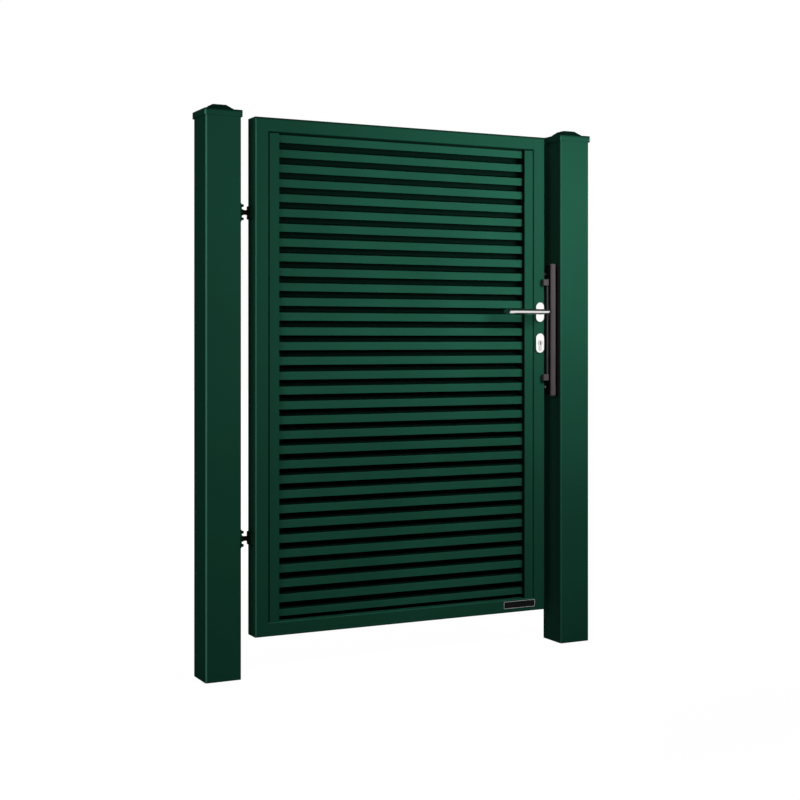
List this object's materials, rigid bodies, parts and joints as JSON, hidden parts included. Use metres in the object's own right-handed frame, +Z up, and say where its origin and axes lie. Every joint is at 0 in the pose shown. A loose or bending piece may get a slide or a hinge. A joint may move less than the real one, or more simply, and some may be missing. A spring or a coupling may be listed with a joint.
{
  "type": "pedestrian gate",
  "caption": "Louvred steel pedestrian gate with a framed leaf hung between two square capped posts, with adjustable hinges, lever handle and a post keep.",
  "frame": {"origin": "centre of the hinge post's foot, at ground level", "axes": "+X from the hinge post to the lock post, +Y to the back, the side the leaf opens to, +Z up"},
  "size_m": [1.2126, 0.207, 1.531],
  "materials": {
    "green_coat": "satin powder coat",
    "black_coat": "satin black coat",
    "satin_metal": "satin",
    "bare_steel": "satin",
    "grey_polymer": "matt"
  },
  "bodies": {
    "posts": {"hinge_post": "green_coat", "lock_post": "green_coat", "hinge_post_cap": "green_coat", "lock_post_cap": "green_coat", "keep_base": "black_coat", "keep_stop_bar": "grey_polymer", "keep_buffer": "grey_polymer", "lower_hinge_bracket": "black_coat", "upper_hinge_bracket": "black_coat", "lower_hinge_pin": "black_coat", "upper_hinge_pin": "black_coat"},
    "leaf": {"hinge_stile": "green_coat", "lock_stile": "green_coat", "top_rail": "green_coat", "bottom_rail": "green_coat", "hinge_side_strip": "green_coat", "lock_side_strip": "green_coat", "louvre_blades": "green_coat", "lower_hinge_eye": "black_coat", "upper_hinge_eye": "black_coat", "front_handle_rose": "satin_metal", "back_handle_rose": "satin_metal", "front_cylinder_rose": "satin_metal", "back_cylinder_rose": "satin_metal", "lock_cylinder": "bare_steel", "lock_faceplate": "bare_steel", "latch_bolt": "bare_steel"},
    "handle": {"front_lever": "satin_metal", "back_lever": "satin_metal", "lever_spindle": "bare_steel"}
  },
  "joints": [
    {"name": "leaf_swing", "type": "hinge", "parent": "posts", "child": "leaf", "pos_m": [0.069, 0.025, 0.8], "axis": [0, 0, 1], "range_deg": [0, 95]},
    {"name": "lever_turn", "type": "hinge", "parent": "leaf", "child": "handle", "pos_m": [1.005, 0.02, 0.986], "axis": [0, -1, 0], "range_deg": [0, 40], "stiffness_Nm_per_rad": 1.2, "springref_deg": -28.65}
  ]
}
